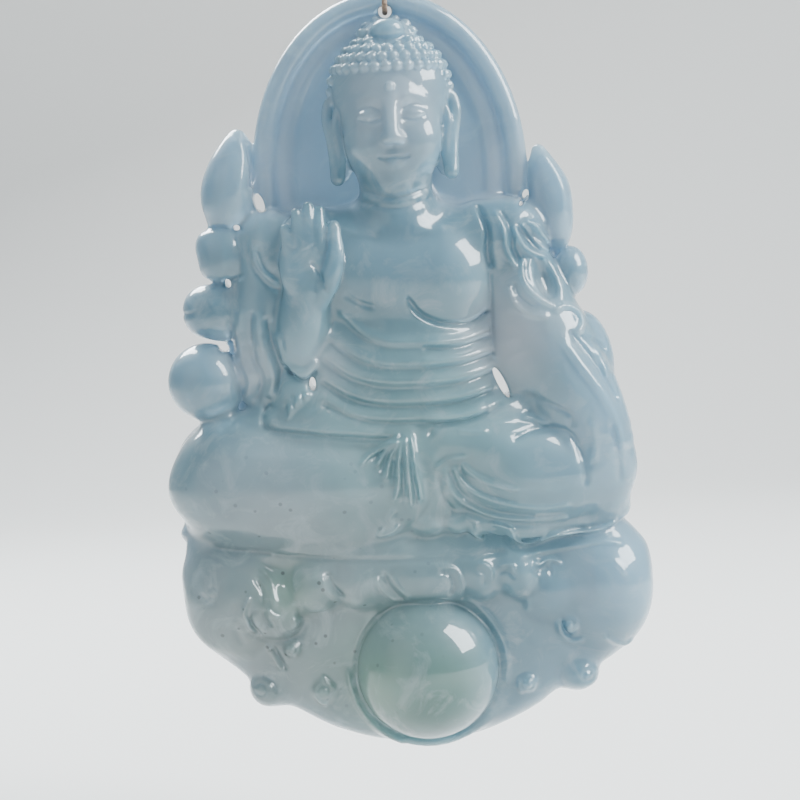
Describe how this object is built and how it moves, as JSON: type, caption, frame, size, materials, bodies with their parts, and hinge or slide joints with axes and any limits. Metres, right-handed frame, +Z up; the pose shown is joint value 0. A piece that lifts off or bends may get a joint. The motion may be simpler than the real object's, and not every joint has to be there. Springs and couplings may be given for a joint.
{
  "type": "carved jade pendant",
  "caption": "Carved translucent jade pendant of a seated figure with a round halo on a lotus throne holding a pearl, hanging from a thin thread through its drilled hole.",
  "frame": {"origin": "middle of the knot that the pendant hangs from", "axes": "+Z up; the carved front faces -Y and the flat polished back faces +Y; +X is to the right as seen from the front"},
  "size_m": [0.0432, 0.0116, 0.088],
  "materials": {
    "jade": "high polish, translucent",
    "thread": "twisted thread"
  },
  "bodies": {
    "thread": {"hanging_thread": "thread", "thread_knot": "thread"},
    "stone": {"jade_carving": "jade"}
  },
  "joints": [
    {"name": "swing", "type": "hinge", "parent": "thread", "child": "stone", "pos_m": [0, 0, -0.01725], "axis": [0, 1, 0], "range_deg": [-45, 45]}
  ]
}
